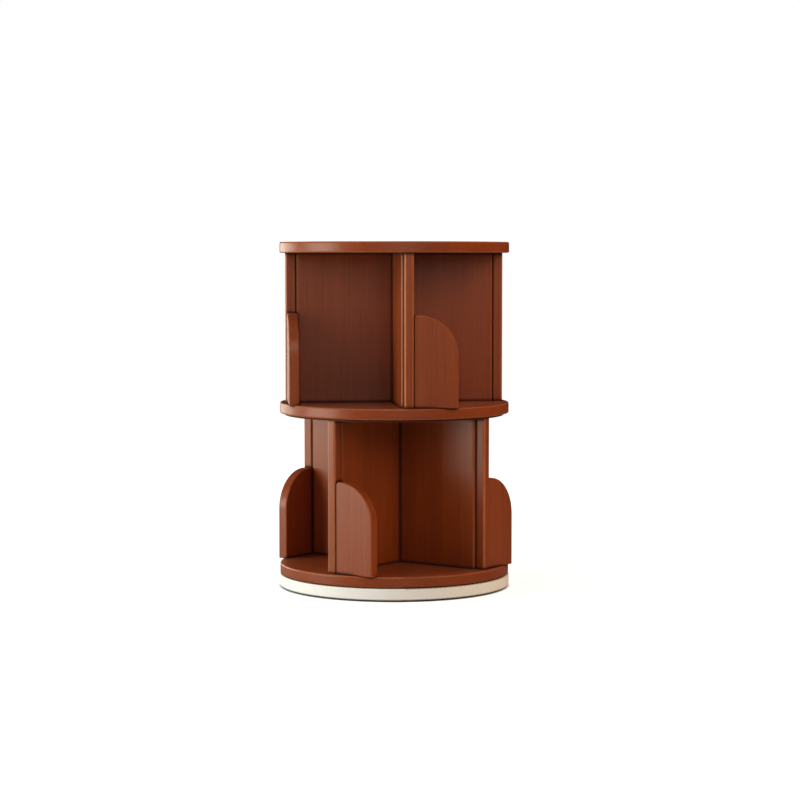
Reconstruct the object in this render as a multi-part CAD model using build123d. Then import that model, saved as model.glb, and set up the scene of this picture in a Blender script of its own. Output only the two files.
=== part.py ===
from build123d import *
from math import cos, radians, sin
import os

# Revolving desktop bookcase, in millimetres, +Z up. The origin is on the table, on the
# turning axis. A fixed plinth carries the lower tier on a ball turntable, and the lower
# tier carries the upper tier on a second one, so each tier turns by itself.
# A tier has four partitions set as a pinwheel round the axis. Each ends in a thinner post,
# flush with the partition on the side of the guard and stepped back on the other side.
# The piece that points to -Y is drawn once, in the tier's own frame, with the guard's side
# of the post towards +X. The other three are quarter turns of it. Flush face is the distance
# from the axis to the side that partition and post share.

# Tiers
lower_clear_height = 291.0
upper_clear_height = 292.0
lower_rest_angle = -41.4
upper_rest_angle = 0.0
running_gap = 1.0
quarter_count = 4
quarter_turn = 360.0 / quarter_count

# Round boards
disc_radius = 225.0
disc_thickness = 21.0
lower_floor_thickness = 21.0
disc_edge_round = 3.0
rim_round_share = 0.45
tie_plate_thickness = 3.0

# Plinth and feet
plinth_overhang = 1.0
plinth_thickness = 22.0
plinth_edge_round = 2.0
foot_radius = 14.0
foot_thickness = 5.0
foot_recess = 2.0
foot_glue_gap = 0.1
foot_setback = 31.0
foot_count = 6

# Uprights
post_setback = 10.5
flush_face = 17.0
partition_thickness = 22.0
partition_edge_round = 5.0
post_thickness = 18.0
post_depth = 20.5
post_edge_round = 4.0
guard_setback = 2.5
guard_thickness = 20.0
guard_width = 84.0
guard_height = 175.0
guard_corner_radius = 76.0
guard_inner_radius = 6.0
guard_edge_round = 2.5
guard_top_flat = 1.0

# Ball turntable
turntable_height = 9.0
race_thickness = 3.0
track_radius = 64.0
ball_radius = 3.175
ball_count = 24
ball_clearance = 0.1
channel_side_clearance = 0.6
race_lip = 6.0
race_flange = 24.0
pocket_clearance = 3.0
cage_thickness = 2.0
cage_margin = 3.0
access_hole_radius = 7.0
race_edge_break = 0.4

# Wooden dowels
dowel_radius = 4.0
dowel_length = 30.0
dowel_board_depth = 12.0
dowel_chamfer = 0.8
dowel_end_gap = 0.5
dowel_wall = 2.0
core_dowel_heights = (60.0, 150.0, 240.0)
post_dowel_heights = (90.0, 220.0)
guard_dowel_heights = (50.0, 130.0)

# Screws
hole_clearance = 0.1
panel_screw_length = 50.0
panel_screw_radius = 2.5
panel_head_radius = 5.0
panel_head_height = 3.0
panel_screw_margin = 15.0
tie_screw_length = 34.0
tie_screw_radius = 2.0
tie_head_radius = 4.0
tie_head_height = 2.2
guard_screw_offset = 30.0
race_screw_radius = 2.0
race_head_radius = 4.0
race_head_height = 2.4
base_race_screw_length = 16.0
floor_race_screw_length = 11.0
tie_race_screw_inset = 0.5
race_screw_count = 4
race_head_bevel = 1.0
screw_tip = 3.0
socket_across_flats = 3.0
socket_depth = 1.4
head_rim = 0.6

# Length of the tools that cut right through
through_cut = 60.0

# Heights of the stack, from the table up
plinth_bottom = foot_thickness - foot_recess
plinth_top = plinth_bottom + plinth_thickness
lower_floor_bottom = plinth_top + running_gap
lower_floor_top = lower_floor_bottom + lower_floor_thickness
tie_plate_bottom = lower_floor_top + lower_clear_height
tie_plate_top = tie_plate_bottom + tie_plate_thickness
upper_floor_bottom = tie_plate_top + running_gap
upper_floor_top = upper_floor_bottom + disc_thickness
top_panel_bottom = upper_floor_top + upper_clear_height

# Places that several pieces share
plinth_radius = disc_radius + plinth_overhang
foot_circle_radius = plinth_radius - foot_setback
post_outer = disc_radius - post_setback
post_centre = post_outer - post_depth / 2
partition_reach = post_outer - post_depth
post_middle = flush_face - post_thickness / 2
partition_step = partition_thickness - flush_face
partition_middle = flush_face - partition_thickness / 2
guard_outer = post_outer - guard_setback
guard_centre = guard_outer - guard_thickness / 2
guard_dowel_place = (guard_outer + partition_reach) / 2
core_dowel_place = flush_face - dowel_radius - dowel_wall
core_dowel_room = core_dowel_place + partition_step - dowel_radius - dowel_wall
core_dowel_depth = min(dowel_board_depth, core_dowel_room)
channel_half = ball_radius + channel_side_clearance
ball_height = turntable_height / 2
channel_floor = ball_height - ball_radius - ball_clearance
base_race_inner = track_radius - channel_half - race_flange
base_race_outer = track_radius + channel_half + race_lip
floor_race_inner = track_radius - channel_half - race_lip
floor_race_outer = track_radius + channel_half + race_flange
base_screw_circle = track_radius - channel_half - race_flange / 2
floor_screw_circle = track_radius + channel_half + race_flange / 2
pocket_radius = floor_race_outer + pocket_clearance
pocket_depth = turntable_height - running_gap
dowel_upright_depth = dowel_length - dowel_board_depth
inner_screw_place = pocket_radius + panel_screw_margin
outer_screw_place = partition_reach - panel_screw_margin
end_dowel_place = (inner_screw_place + outer_screw_place) / 2
first_screw_angle = quarter_turn / 2

nodes = {}


def turned_profile(points):
    """Solid of revolution about Z from (radius, height) points."""
    outline = Polyline(*[(radius, 0, height) for radius, height in points], close=True)
    return revolve(make_face(outline), Axis.Z)


def around(shape, rest_angle, step):
    """The piece at one quarter of a tier, at the angle where the tier rests."""
    return Rot(0, 0, rest_angle + step * quarter_turn) * shape


def ring_places(count, circle_radius, start_angle, height):
    """Places evenly spaced on a circle."""
    places = []
    for index in range(count):
        angle = radians(start_angle + index * 360.0 / count)
        places.append(Pos(circle_radius * cos(angle), circle_radius * sin(angle), height))
    return places


def disc(radius, thickness, bottom, edge_round):
    """Round board with a rounded rim."""
    board = Pos(0, 0, bottom + thickness / 2) * Cylinder(radius, thickness)
    rim_round = min(edge_round, rim_round_share * thickness)
    return fillet(board.edges().filter_by(GeomType.CIRCLE), rim_round)


def dowel():
    """Dowel that starts at the origin and runs along +Z."""
    body = Pos(0, 0, dowel_length / 2) * Cylinder(dowel_radius, dowel_length)
    return chamfer(body.edges().filter_by(GeomType.CIRCLE), dowel_chamfer)


def dowel_bore():
    """The hole that one dowel lies in, both boards together."""
    bore_length = dowel_length + 2 * dowel_end_gap
    return Pos(0, 0, dowel_length / 2) * Cylinder(dowel_radius + hole_clearance, bore_length)


def sunk_screw(length, shank_radius, head_radius, head_height):
    """Countersunk screw, head face at the origin, point along +Z."""
    body = turned_profile([
        (0, 0),
        (head_radius, 0),
        (head_radius, head_rim),
        (shank_radius, head_height),
        (shank_radius, length - screw_tip),
        (0, length),
    ])
    return body - socket()


def sunk_bore(length, shank_radius, head_radius, head_height):
    """The hole for a countersunk screw."""
    return turned_profile([
        (0, 0),
        (head_radius + hole_clearance, 0),
        (head_radius + hole_clearance, head_rim + hole_clearance),
        (shank_radius + hole_clearance, head_height + hole_clearance),
        (shank_radius + hole_clearance, length + dowel_end_gap),
        (0, length + dowel_end_gap),
    ])


def race_screw(length):
    """Pan head screw, seat under its head at the origin, point along +Z."""
    body = turned_profile([
        (0, -race_head_height),
        (race_head_radius - race_head_bevel, -race_head_height),
        (race_head_radius, race_head_bevel - race_head_height),
        (race_head_radius, 0),
        (race_screw_radius, 0),
        (race_screw_radius, length - screw_tip),
        (0, length),
    ])
    return body - Pos(0, 0, -race_head_height) * socket()


def race_screw_bore(length):
    """The hole for the shank of a race screw."""
    bore_length = length + dowel_end_gap
    return Pos(0, 0, bore_length / 2) * Cylinder(race_screw_radius + hole_clearance, bore_length)


def socket():
    """Hexagon recess in a screw head, open at the origin."""
    flat = RegularPolygon(socket_across_flats / 2, 6, major_radius=False)
    return extrude(flat, socket_depth)


def partition(bottom, height):
    """Partition that points to -Y, its inner end against the side of the next one."""
    middle = -(partition_reach + partition_step) / 2
    board = Pos(partition_middle, middle, bottom + height / 2) * Box(
        partition_thickness, partition_reach - partition_step, height)
    outer_edges = board.edges().filter_by(Axis.Z).sort_by(Axis.Y)[:2]
    return fillet(outer_edges, partition_edge_round)


def post(bottom, height):
    """Post at the outer end of the partition."""
    board = Pos(post_middle, -post_centre, bottom + height / 2) * Box(
        post_thickness, post_depth, height)
    return fillet(board.edges().filter_by(Axis.Z), post_edge_round)


def guard(bottom):
    """Low board beside the post that keeps the books in, one top corner rounded large."""
    left = flush_face
    right = left + guard_width
    top = bottom + guard_height
    inner = guard_inner_radius
    corner_room = min(guard_width - inner, guard_height) - guard_top_flat
    corner = min(guard_corner_radius, corner_room)
    diagonal = sin(radians(45))
    edge_lines = [
        Line((left, bottom), (right, bottom)),
        Line((right, bottom), (right, top - corner)),
        ThreePointArc(
            (right, top - corner),
            (right - corner + corner * diagonal, top - corner + corner * diagonal),
            (right - corner, top)),
        Line((right - corner, top), (left + inner, top)),
        ThreePointArc(
            (left + inner, top),
            (left + inner - inner * diagonal, top - inner + inner * diagonal),
            (left, top - inner)),
        Line((left, top - inner), (left, bottom)),
    ]
    outline = Plane.XZ * make_face(edge_lines)
    board = extrude(outline, guard_thickness)
    board = Pos(0, -guard_outer - board.bounding_box().min.Y, 0) * board
    return fillet(board.faces().filter_by(Axis.Y).edges(), guard_edge_round)


def lift(shape, x, y, z):
    """A fastener that points up, moved to its place."""
    return Pos(x, y, z) * shape


def facing(shape, x, y, z, direction):
    """A fastener that lies flat, pointing to +X or +Y."""
    turn = Rot(0, 90, 0) if direction == "x" else Rot(-90, 0, 0)
    return Pos(x, y, z) * turn * shape


def core_dowels(shape, bottom):
    """Dowels from the inner end of a partition into the side of the next one."""
    start = core_dowel_depth - partition_step - dowel_length
    return [
        facing(shape, core_dowel_place, start, bottom + height, "y")
        for height in core_dowel_heights]


def edge_dowels(shape, bottom):
    """Dowels between partition and post, and between post and guard."""
    post_start = -partition_reach - dowel_board_depth
    guard_start = flush_face - dowel_board_depth
    return [
        facing(shape, post_middle, post_start, bottom + height, "y")
        for height in post_dowel_heights
    ] + [
        facing(shape, guard_start, -guard_dowel_place, bottom + height, "x")
        for height in guard_dowel_heights]


def floor_screws(shape, board_bottom):
    """Screws that come up through a floor board into partition, post and guard."""
    guard_screw = flush_face + guard_screw_offset
    return [
        lift(shape, partition_middle, -inner_screw_place, board_bottom),
        lift(shape, partition_middle, -outer_screw_place, board_bottom),
        lift(shape, post_middle, -post_centre, board_bottom),
        lift(shape, guard_screw, -guard_centre, board_bottom),
    ]


def tie_screws(shape):
    """Screws that go down through the thin plate into partition and post."""
    pointing_down = Rot(180, 0, 0) * shape
    return [
        lift(pointing_down, partition_middle, -inner_screw_place, tie_plate_top),
        lift(pointing_down, partition_middle, -outer_screw_place, tie_plate_top),
        lift(pointing_down, post_middle, -post_centre, tie_plate_top),
    ]


def top_dowels(shape):
    """Dowels that stand out of the uprights into the top panel."""
    start = top_panel_bottom - dowel_upright_depth
    return [
        lift(shape, partition_middle, -inner_screw_place, start),
        lift(shape, partition_middle, -outer_screw_place, start),
        lift(shape, post_middle, -post_centre, start),
    ]


def floor_dowels(shape, floor_top):
    """One dowel between floor board and partition."""
    return [lift(shape, partition_middle, -end_dowel_place, floor_top - dowel_board_depth)]


def race_ring(inner, outer):
    """Steel race with its ball channel open on top, its seat at height 0."""
    return turned_profile([
        (inner, race_edge_break),
        (inner + race_edge_break, 0),
        (outer - race_edge_break, 0),
        (outer, race_edge_break),
        (outer, race_thickness - race_edge_break),
        (outer - race_edge_break, race_thickness),
        (track_radius + channel_half, race_thickness),
        (track_radius + channel_half, channel_floor),
        (track_radius - channel_half, channel_floor),
        (track_radius - channel_half, race_thickness),
        (inner + race_edge_break, race_thickness),
        (inner, race_thickness - race_edge_break),
    ])


def floor_race_holes(board_bottom, rest_angle):
    """Pocket and screw holes under a board that stands on a turntable."""
    ceiling = board_bottom + pocket_depth
    shank = floor_race_screw_length - race_thickness
    pocket = Pos(0, 0, board_bottom + pocket_depth / 2) * Cylinder(pocket_radius, pocket_depth)
    places = ring_places(
        race_screw_count, floor_screw_circle, first_screw_angle + rest_angle, ceiling)
    return [pocket] + [place * race_screw_bore(shank) for place in places]


def make_turntable(prefix, seat, below_angle, above_angle, base_screw_length):
    """Bottom race, top race, cage, balls and the screws of both races."""
    base_places = ring_places(
        race_screw_count, base_screw_circle, first_screw_angle + below_angle, 0)
    floor_places = ring_places(
        race_screw_count, floor_screw_circle, first_screw_angle + above_angle, 0)
    ball_places = ring_places(ball_count, track_radius, above_angle, seat + ball_height)
    through = Cylinder(race_screw_radius + hole_clearance, through_cut)
    top_seat = seat + turntable_height

    bottom_race = race_ring(base_race_inner, base_race_outer)
    bottom_race = bottom_race - [place * through for place in base_places]
    nodes[prefix + "_bottom_race"] = [Pos(0, 0, seat) * bottom_race]

    top_race = Rot(180, 0, 0) * race_ring(floor_race_inner, floor_race_outer)
    top_race = top_race - [place * through for place in floor_places]
    nodes[prefix + "_top_race"] = [Pos(0, 0, top_seat) * top_race]

    base_screw = Rot(180, 0, 0) * race_screw(base_screw_length)
    nodes[prefix + "_bottom_race_screws"] = [
        Pos(0, 0, seat + race_thickness) * place * base_screw for place in base_places]
    floor_screw = race_screw(floor_race_screw_length)
    nodes[prefix + "_top_race_screws"] = [
        Pos(0, 0, top_seat - race_thickness) * place * floor_screw for place in floor_places]

    cage_half = ball_radius + ball_clearance + cage_margin
    cage = turned_profile([
        (track_radius - cage_half, -cage_thickness / 2),
        (track_radius + cage_half, -cage_thickness / 2),
        (track_radius + cage_half, cage_thickness / 2),
        (track_radius - cage_half, cage_thickness / 2),
    ])
    cage = Pos(0, 0, seat + ball_height) * cage
    ball_hole = Cylinder(ball_radius + ball_clearance, through_cut)
    nodes[prefix + "_ball_cage"] = [cage - [place * ball_hole for place in ball_places]]
    nodes[prefix + "_balls"] = [place * Sphere(ball_radius) for place in ball_places]


def make_uprights(prefix, rest_angle, floor_top, height, end_holes):
    """Partitions, posts and guards of one tier, drilled for their fasteners."""
    core_holes = core_dowels(dowel_bore(), floor_top)
    holes = core_holes + edge_dowels(dowel_bore(), floor_top) + end_holes
    from_neighbour = [Rot(0, 0, -quarter_turn) * hole for hole in core_holes]
    drilled_partition = partition(floor_top, height) - holes - from_neighbour
    drilled_post = post(floor_top, height) - holes
    drilled_guard = guard(floor_top) - holes
    for step, side in enumerate(("front", "right", "back", "left")):
        nodes[f"{prefix}_partition_{side}"] = [around(drilled_partition, rest_angle, step)]
        nodes[f"{prefix}_post_{side}"] = [around(drilled_post, rest_angle, step)]
        nodes[f"{prefix}_guard_{side}"] = [around(drilled_guard, rest_angle, step)]


def make_plinth():
    """Painted base board with its feet."""
    base = disc(plinth_radius, plinth_thickness, plinth_bottom, plinth_edge_round)
    foot = Pos(0, 0, foot_thickness / 2) * Cylinder(foot_radius, foot_thickness)
    recess_radius = foot_radius + foot_glue_gap
    recess = Pos(0, 0, foot_thickness / 2) * Cylinder(recess_radius, foot_thickness)
    foot_places = ring_places(foot_count, foot_circle_radius, 0, 0)
    screw_places = ring_places(
        race_screw_count, base_screw_circle, first_screw_angle, plinth_top)
    bore = Rot(180, 0, 0) * race_screw_bore(base_race_screw_length - race_thickness)
    access = Pos(floor_screw_circle, 0, plinth_bottom) * Cylinder(access_hole_radius, through_cut)
    base = base - [place * recess for place in foot_places]
    base = base - [place * bore for place in screw_places] - access
    nodes["base_plinth"] = [base]
    nodes["rubber_feet"] = [place * foot for place in foot_places]


def make_lower_tier():
    """Lower floor, uprights, thin top plate and the fasteners between them."""
    bore = sunk_bore(panel_screw_length, panel_screw_radius, panel_head_radius, panel_head_height)
    screw = sunk_screw(panel_screw_length, panel_screw_radius, panel_head_radius, panel_head_height)
    tie_bore = sunk_bore(tie_screw_length, tie_screw_radius, tie_head_radius, tie_head_height)
    tie_screw = sunk_screw(tie_screw_length, tie_screw_radius, tie_head_radius, tie_head_height)

    floor_holes = floor_screws(bore, lower_floor_bottom) + floor_dowels(dowel_bore(), lower_floor_top)
    top_holes = tie_screws(tie_bore)
    make_uprights("lower", lower_rest_angle, lower_floor_top, lower_clear_height,
                  floor_holes + top_holes)

    floor = disc(disc_radius, lower_floor_thickness, lower_floor_bottom, disc_edge_round)
    floor = floor - floor_race_holes(lower_floor_bottom, lower_rest_angle)
    plate = Pos(0, 0, tie_plate_bottom + tie_plate_thickness / 2) * Cylinder(
        post_outer, tie_plate_thickness)
    dowels = []
    panel_screws = []
    plate_screws = []
    for step in range(quarter_count):
        floor = floor - [around(hole, lower_rest_angle, step) for hole in floor_holes]
        plate = plate - [around(hole, lower_rest_angle, step) for hole in top_holes]
        pieces = core_dowels(dowel(), lower_floor_top) + edge_dowels(dowel(), lower_floor_top)
        pieces += floor_dowels(dowel(), lower_floor_top)
        dowels += [around(piece, lower_rest_angle, step) for piece in pieces]
        panel_screws += [
            around(piece, lower_rest_angle, step) for piece in floor_screws(screw, lower_floor_bottom)]
        plate_screws += [around(piece, lower_rest_angle, step) for piece in tie_screws(tie_screw)]

    race_places = ring_places(
        race_screw_count, base_screw_circle, first_screw_angle + lower_rest_angle, tie_plate_top)
    race_bore = Cylinder(race_screw_radius + hole_clearance, through_cut)
    access = Rot(0, 0, lower_rest_angle - first_screw_angle) * Pos(
        floor_screw_circle, 0, tie_plate_top) * Cylinder(access_hole_radius, through_cut)
    plate = plate - [place * race_bore for place in race_places] - access
    nodes["lower_floor"] = [floor]
    nodes["lower_tie_plate"] = [plate]
    nodes["lower_dowels"] = dowels
    nodes["lower_floor_screws"] = panel_screws
    nodes["lower_tie_screws"] = plate_screws


def make_upper_tier():
    """Upper floor, uprights, top panel and the fasteners between them."""
    bore = sunk_bore(panel_screw_length, panel_screw_radius, panel_head_radius, panel_head_height)
    screw = sunk_screw(panel_screw_length, panel_screw_radius, panel_head_radius, panel_head_height)
    floor_holes = floor_screws(bore, upper_floor_bottom) + floor_dowels(dowel_bore(), upper_floor_top)
    top_holes = top_dowels(dowel_bore())
    make_uprights("upper", upper_rest_angle, upper_floor_top, upper_clear_height,
                  floor_holes + top_holes)

    floor = disc(disc_radius, disc_thickness, upper_floor_bottom, disc_edge_round)
    floor = floor - floor_race_holes(upper_floor_bottom, upper_rest_angle)
    panel = disc(disc_radius, disc_thickness, top_panel_bottom, disc_edge_round)
    dowels = []
    panel_screws = []
    for step in range(quarter_count):
        floor = floor - [around(hole, upper_rest_angle, step) for hole in floor_holes]
        panel = panel - [around(hole, upper_rest_angle, step) for hole in top_holes]
        pieces = core_dowels(dowel(), upper_floor_top) + edge_dowels(dowel(), upper_floor_top)
        pieces += floor_dowels(dowel(), upper_floor_top) + top_dowels(dowel())
        dowels += [around(piece, upper_rest_angle, step) for piece in pieces]
        panel_screws += [
            around(piece, upper_rest_angle, step) for piece in floor_screws(screw, upper_floor_bottom)]
    nodes["upper_floor"] = [floor]
    nodes["top_panel"] = [panel]
    nodes["upper_dowels"] = dowels
    nodes["upper_floor_screws"] = panel_screws


make_plinth()
make_turntable("lower", plinth_top, 0.0, lower_rest_angle, base_race_screw_length)
make_lower_tier()
make_turntable("upper", tie_plate_top, lower_rest_angle, upper_rest_angle,
               race_thickness + tie_plate_thickness - tie_race_screw_inset)
make_upper_tier()

os.makedirs("parts", exist_ok=True)
for name, pieces in nodes.items():
    solids = []
    for piece in pieces:
        solids += piece.solids()
    export_step(Compound(children=solids) if len(solids) > 1 else solids[0], f"parts/{name}.step")
print(len(nodes), "nodes")
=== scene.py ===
import math

import bpy
from mathutils import Matrix, Vector


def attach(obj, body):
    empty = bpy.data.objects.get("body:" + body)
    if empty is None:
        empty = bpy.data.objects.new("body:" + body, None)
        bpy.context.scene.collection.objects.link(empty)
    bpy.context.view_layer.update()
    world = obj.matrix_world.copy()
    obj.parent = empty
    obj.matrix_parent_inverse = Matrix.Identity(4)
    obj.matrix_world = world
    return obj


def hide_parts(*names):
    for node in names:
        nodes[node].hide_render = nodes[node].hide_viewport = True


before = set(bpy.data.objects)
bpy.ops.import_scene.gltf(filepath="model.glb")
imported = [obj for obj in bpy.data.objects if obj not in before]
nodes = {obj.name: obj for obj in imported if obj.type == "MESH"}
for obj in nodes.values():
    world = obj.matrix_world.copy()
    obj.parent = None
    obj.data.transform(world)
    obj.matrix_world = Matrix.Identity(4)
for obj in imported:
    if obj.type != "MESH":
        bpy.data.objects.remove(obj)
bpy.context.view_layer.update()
sides = ("front", "right", "back", "left")
tiers = ("lower", "upper")
print("frame loaded:", len(nodes), "nodes")


# node tree helpers

def put(tree, kind, settings=None, wires=None):
    node = tree.nodes.new(kind)
    for name, value in (settings or {}).items():
        setattr(node, name, value)
    for name, value in (wires or {}).items():
        socket = node.inputs[name]
        if isinstance(value, bpy.types.NodeSocket):
            tree.links.new(value, socket)
        else:
            socket.default_value = value
    return node


def mixColour(tree, factor, first, second, blend="MIX"):
    # colour sockets of the Mix node are 6 and 7, its colour result is 2
    return put(tree, "ShaderNodeMix", {"data_type": "RGBA", "blend_type": blend},
               {0: factor, 6: first, 7: second}).outputs[2]


def sums(tree, operation, first, second=0.5, third=0.5):
    return put(tree, "ShaderNodeMath", {"operation": operation},
               {0: first, 1: second, 2: third}).outputs[0]


def spread(tree, value, low, high, newLow=0.0, newHigh=1.0):
    return put(tree, "ShaderNodeMapRange", {"clamp": True}, {
        "Value": value, "From Min": low, "From Max": high,
        "To Min": newLow, "To Max": newHigh}).outputs["Result"]


def noise(tree, vector, scale, detail=3.0, roughness=0.55):
    return put(tree, "ShaderNodeTexNoise", None, {
        "Vector": vector, "Scale": scale, "Detail": detail, "Roughness": roughness}).outputs["Fac"]


def stretched(tree, vector, factors):
    return put(tree, "ShaderNodeVectorMath", {"operation": "MULTIPLY"}, {
        0: vector, 1: factors}).outputs["Vector"]


def newGroup(name, inputs, outputs):
    tree = bpy.data.node_groups.new(name, "ShaderNodeTree")
    kinds = {"number": "NodeSocketFloat", "colour": "NodeSocketColor", "vector": "NodeSocketVector"}
    for label, kind, value in inputs:
        socket = tree.interface.new_socket(name=label, in_out="INPUT", socket_type=kinds[kind])
        if value is not None:
            socket.default_value = value
    for label, kind in outputs:
        tree.interface.new_socket(name=label, in_out="OUTPUT", socket_type=kinds[kind])
    source = tree.nodes.new("NodeGroupInput")
    result = tree.nodes.new("NodeGroupOutput")
    return tree, source.outputs, result.inputs


def useGroup(tree, group, wires):
    return put(tree, "ShaderNodeGroup", {"node_tree": group}, wires).outputs


# straight grain that runs along Z of its vector: fibres, growth streaks, pores and slow stain tone
def makeGrainGroup():
    tree, given, result = newGroup(
        "straightGrain",
        [("Vector", "vector", None), ("Waviness", "number", 0.0020), ("Streak Scale", "number", 260.0)],
        [("Streaks", "number"), ("Fibres", "number"), ("Pores", "number"), ("Tone", "number")])
    drift = put(tree, "ShaderNodeTexNoise", None, {
        "Vector": given["Vector"], "Scale": 9.0, "Detail": 1.0}).outputs["Color"]
    centred = put(tree, "ShaderNodeVectorMath", {"operation": "SUBTRACT"}, {
        0: drift, 1: (0.5, 0.5, 0.5)}).outputs["Vector"]
    wave = put(tree, "ShaderNodeVectorMath", {"operation": "SCALE"}, {
        0: centred, "Scale": given["Waviness"]}).outputs["Vector"]
    path = put(tree, "ShaderNodeVectorMath", {"operation": "ADD"}, {
        0: given["Vector"], 1: wave}).outputs["Vector"]
    streakRaw = noise(tree, stretched(tree, path, (1.0, 1.0, 0.008)), given["Streak Scale"], 3.0, 0.6)
    fibreRaw = noise(tree, stretched(tree, path, (1.0, 1.0, 0.006)), 1100.0, 2.0, 0.5)
    poreRaw = noise(tree, stretched(tree, path, (1.0, 1.0, 0.04)), 1150.0, 1.0, 0.5)
    toneRaw = noise(tree, stretched(tree, path, (1.0, 1.0, 0.10)), 22.0, 2.0, 0.5)
    tree.links.new(spread(tree, streakRaw, 0.30, 0.70), result["Streaks"])
    tree.links.new(spread(tree, fibreRaw, 0.30, 0.70), result["Fibres"])
    tree.links.new(spread(tree, poreRaw, 0.60, 0.72), result["Pores"])
    tree.links.new(spread(tree, toneRaw, 0.30, 0.70), result["Tone"])
    return tree


# lighter colour on rounded edges, partly real wear of the lacquer and partly a painted highlight along
# the edge: First and Second rise towards the edge
def makeEdgeGroup():
    tree, given, result = newGroup(
        "rubbedEdgeAndHighlight",
        [("Colour", "colour", None), ("Rub And Highlight Colour", "colour", None), ("First", "number", 1.0),
         ("Second", "number", 1.0), ("Amount", "number", 0.5)],
        [("Colour", "colour"), ("Mask", "number")])
    place = put(tree, "ShaderNodeTexCoord").outputs["Object"]
    broken = spread(tree, noise(tree, place, 55.0, 3.0, 0.6), 0.25, 0.6, 0.55, 1.0)
    edge = sums(tree, "MULTIPLY", given["First"], given["Second"])
    mask = sums(tree, "MULTIPLY", sums(tree, "MULTIPLY", edge, broken), given["Amount"])
    tree.links.new(mixColour(tree, mask, given["Colour"], given["Rub And Highlight Colour"]), result["Colour"])
    tree.links.new(mask, result["Mask"])
    return tree


# faint film of dust and hand marks: patches that are a little rougher and paler on faces that look up
def makeFilmGroup():
    tree, given, result = newGroup(
        "surfaceFilm",
        [("Colour", "colour", None), ("Film Colour", "colour", (0.5, 0.45, 0.4, 1.0)),
         ("Amount", "number", 0.05), ("Base Roughness", "number", 0.4),
         ("Roughness Spread", "number", 0.05)],
        [("Colour", "colour"), ("Roughness", "number")])
    place = put(tree, "ShaderNodeTexCoord").outputs["Object"]
    normal = put(tree, "ShaderNodeNewGeometry").outputs["Normal"]
    upward = spread(tree, put(tree, "ShaderNodeSeparateXYZ", None, {0: normal}).outputs["Z"], 0.3, 1.0)
    patches = spread(tree, noise(tree, place, 9.0, 4.0, 0.6), 0.35, 0.65)
    speckle = spread(tree, noise(tree, place, 900.0, 2.0, 0.5), 0.55, 0.75)
    dust = sums(tree, "MULTIPLY", sums(tree, "MULTIPLY_ADD", speckle, 0.6, patches), upward)
    amount = sums(tree, "MULTIPLY", dust, given["Amount"])
    tree.links.new(mixColour(tree, amount, given["Colour"], given["Film Colour"]), result["Colour"])
    rough = sums(tree, "MULTIPLY_ADD", patches, given["Roughness Spread"], given["Base Roughness"])
    tree.links.new(rough, result["Roughness"])
    return tree


# painted shade: colour darkened by ambient occlusion where two faces meet at a groove or a joint,
# standing in for the shade that falls there
def makeGrooveShadeGroup():
    tree, given, result = newGroup(
        "paintedGrooveShade",
        [("Colour", "colour", None), ("Groove Shade Colour", "colour", None), ("Reach", "number", 0.007),
         ("Amount", "number", 0.82)],
        [("Colour", "colour"), ("Open", "number")])
    shelter = put(tree, "ShaderNodeAmbientOcclusion", {"samples": 12}, {
        "Distance": given["Reach"]}).outputs["AO"]
    closed = spread(tree, shelter, 0.68, 0.98, 1.0, 0.0)
    mask = sums(tree, "MULTIPLY", closed, given["Amount"])
    tree.links.new(mixColour(tree, mask, given["Colour"], given["Groove Shade Colour"]), result["Colour"])
    tree.links.new(sums(tree, "SUBTRACT", 1.0, closed), result["Open"])
    return tree


grainGroup = makeGrainGroup()
edgeGroup = makeEdgeGroup()
filmGroup = makeFilmGroup()
grooveShadeGroup = makeGrooveShadeGroup()


def axisReach(tree, vector):
    # distance from the turning axis
    level = stretched(tree, vector, (1.0, 1.0, 0.0))
    return put(tree, "ShaderNodeVectorMath", {"operation": "LENGTH"}, {0: level}).outputs["Value"]


def newMaterial(name):
    material = bpy.data.materials.new(name)
    material.use_nodes = True
    tree = material.node_tree
    tree.nodes.clear()
    shader = tree.nodes.new("ShaderNodeBsdfPrincipled")
    output = tree.nodes.new("ShaderNodeOutputMaterial")
    tree.links.new(shader.outputs[0], output.inputs["Surface"])
    return material, tree, shader


def wireSurface(tree, shader, colour, roughness):
    tree.links.new(colour, shader.inputs["Base Color"])
    tree.links.new(roughness, shader.inputs["Roughness"])


def wireBump(tree, shader, height, distance, strength):
    bump = put(tree, "ShaderNodeBump", None, {
        "Height": height, "Distance": distance, "Strength": strength})
    tree.links.new(bump.outputs["Normal"], shader.inputs["Normal"])


def dress(piece, material):
    piece.data.materials.clear()
    piece.data.materials.append(material)


stainedWood = {
    "deep": (0.130, 0.0180, 0.0032, 1.0),
    "body": (0.285, 0.0490, 0.0090, 1.0),
    "light": (0.385, 0.0820, 0.0170, 1.0),
    "pore": (0.060, 0.0100, 0.0028, 1.0),
    # colour of the worn edges, which also carries a painted highlight
    "rubAndHighlight": (0.50, 0.150, 0.045, 1.0),
    # colour and reach of the painted shade laid into grooves and joints
    "grooveShadeColour": (0.022, 0.0040, 0.0016, 1.0),
    "grooveShadeReach": 0.0075,
    "toneAmount": 0.25,
    "streakAmount": 0.50,
    "fibreAmount": 0.30,
    "poreAmount": 0.25,
    "roughness": 0.36,
    "lacquer": 0.20,
    "shineTint": (1.0, 0.955, 0.86, 1.0),
    "lacquerRoughness": 0.24,
    "grooveDullness": 0.45,
    "grainDepth": 0.00010,
}
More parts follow.
